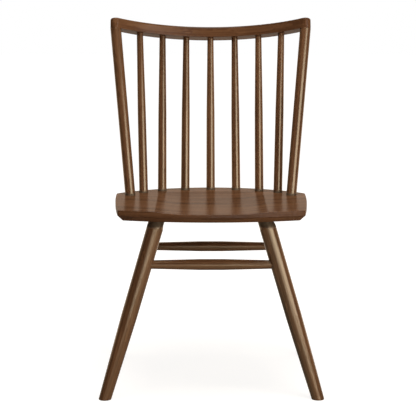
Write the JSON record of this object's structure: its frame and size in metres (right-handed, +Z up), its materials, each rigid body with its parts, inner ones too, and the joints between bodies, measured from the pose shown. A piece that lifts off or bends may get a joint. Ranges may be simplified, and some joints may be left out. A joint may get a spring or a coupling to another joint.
{
  "type": "spindle back dining chair",
  "caption": "Wooden dining chair with a scooped plank seat, splayed turned legs joined by stretchers, and a reclined spindle back under a bent crest rail.",
  "frame": {"origin": "on the floor, under the centre of the chair's bounding box", "axes": "+Z up, +Y from the seat's front edge to the back, +X to the right seen from the front"},
  "size_m": [0.5278, 0.5559, 0.8803],
  "materials": {
    "stained_wood": "dark walnut stain under satin lacquer"
  },
  "bodies": {
    "root": {"seat": "stained_wood", "front_left_leg": "stained_wood", "front_right_leg": "stained_wood", "rear_left_leg": "stained_wood", "rear_right_leg": "stained_wood", "front_stretcher": "stained_wood", "rear_stretcher": "stained_wood", "left_stretcher": "stained_wood", "right_stretcher": "stained_wood", "left_post": "stained_wood", "right_post": "stained_wood", "spindle_1": "stained_wood", "spindle_2": "stained_wood", "spindle_3": "stained_wood", "spindle_4": "stained_wood", "spindle_5": "stained_wood", "spindle_6": "stained_wood", "spindle_7": "stained_wood", "crest_rail": "stained_wood"}
  },
  "joints": []
}
